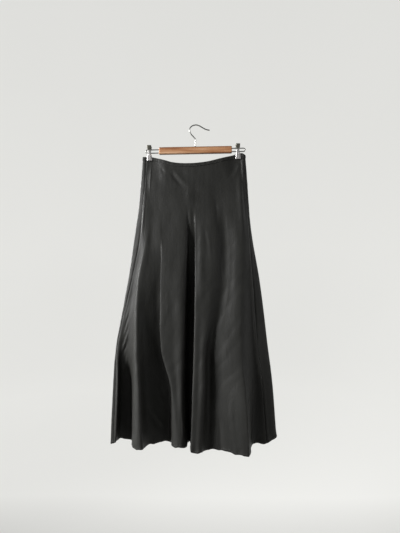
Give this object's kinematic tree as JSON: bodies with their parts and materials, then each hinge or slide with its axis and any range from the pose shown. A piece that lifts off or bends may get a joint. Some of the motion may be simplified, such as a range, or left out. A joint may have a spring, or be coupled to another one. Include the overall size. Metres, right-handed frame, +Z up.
{
  "type": "maxi skirt on clip hanger",
  "caption": "Long bias-cut A-line skirt with soft hanging folds, held flat at the waist by the clips of a short wooden hanger with a wire hook.",
  "frame": {"origin": "under the crown of the hook, where a nail or a rail carries the hanger", "axes": "+Z up; -Y is the skirt's front; +X is on the right seen from the front"},
  "size_m": [0.5221, 0.1156, 1.0076],
  "materials": {
    "skirt_cloth": "soft sandwashed satin, charcoal black",
    "bar_wood": "reddish brown, satin varnish, straight grain",
    "bright_wire": "bright plated wire",
    "clip_steel": "plated pressed steel, slightly dull"
  },
  "bodies": {
    "root": {"skirt_front": "skirt_cloth", "skirt_back": "skirt_cloth", "binding_front": "skirt_cloth", "binding_back": "skirt_cloth", "hanger_bar": "bar_wood", "hanger_hook": "bright_wire", "loop_left": "bright_wire", "loop_right": "bright_wire", "clip_left_front": "clip_steel", "clip_left_back": "clip_steel", "clip_left_spring": "bright_wire", "clip_right_front": "clip_steel", "clip_right_back": "clip_steel", "clip_right_spring": "bright_wire"}
  },
  "joints": []
}
